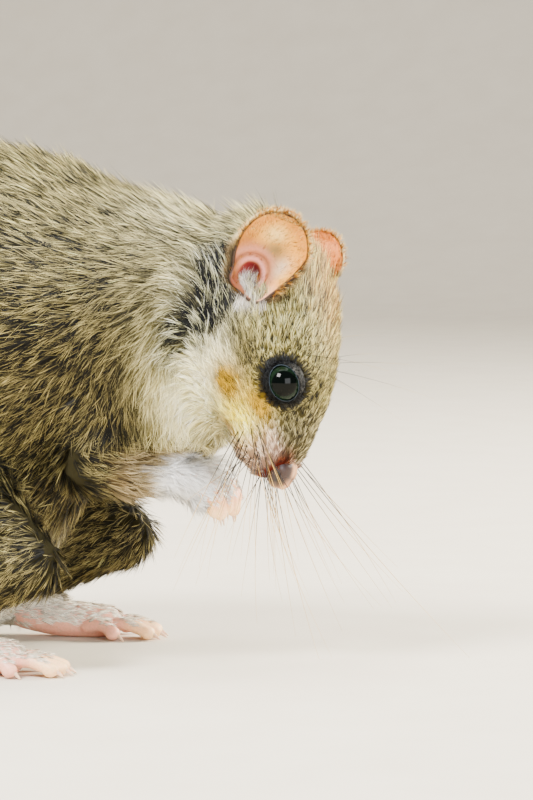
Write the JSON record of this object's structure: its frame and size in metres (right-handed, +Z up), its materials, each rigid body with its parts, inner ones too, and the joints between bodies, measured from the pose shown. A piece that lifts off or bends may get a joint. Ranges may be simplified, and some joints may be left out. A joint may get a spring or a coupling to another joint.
{
  "type": "edible dormouse (Glis glis), still life-size model",
  "caption": "Edible dormouse sitting hunched on its haunches, head bowed and forepaws held under the chin, with a bushy tail curved behind it.",
  "frame": {"origin": "middle of the flat under the rump, on the floor", "axes": "+X is the way that the animal faces, +Y its left, +Z up from the floor"},
  "size_m": [0.1743, 0.126, 0.0824],
  "materials": {
    "coat": "matte",
    "skin": "satin",
    "eye": "gloss",
    "nose": "satin",
    "claw": "satin"
  },
  "bodies": {
    "root": {"ear_left": "skin", "ear_right": "skin", "eye_left": "eye", "eye_right": "eye", "foreleg_left": "coat", "foreleg_right": "coat", "forepaw_left": "skin", "forepaw_right": "skin", "head": "coat", "hindfoot_left": "skin", "hindfoot_right": "skin", "hindleg_left": "coat", "hindleg_right": "coat", "neck": "coat", "nose": "nose", "tail_1": "coat", "tail_2": "coat", "tail_3": "coat", "torso": "coat"}
  },
  "joints": []
}
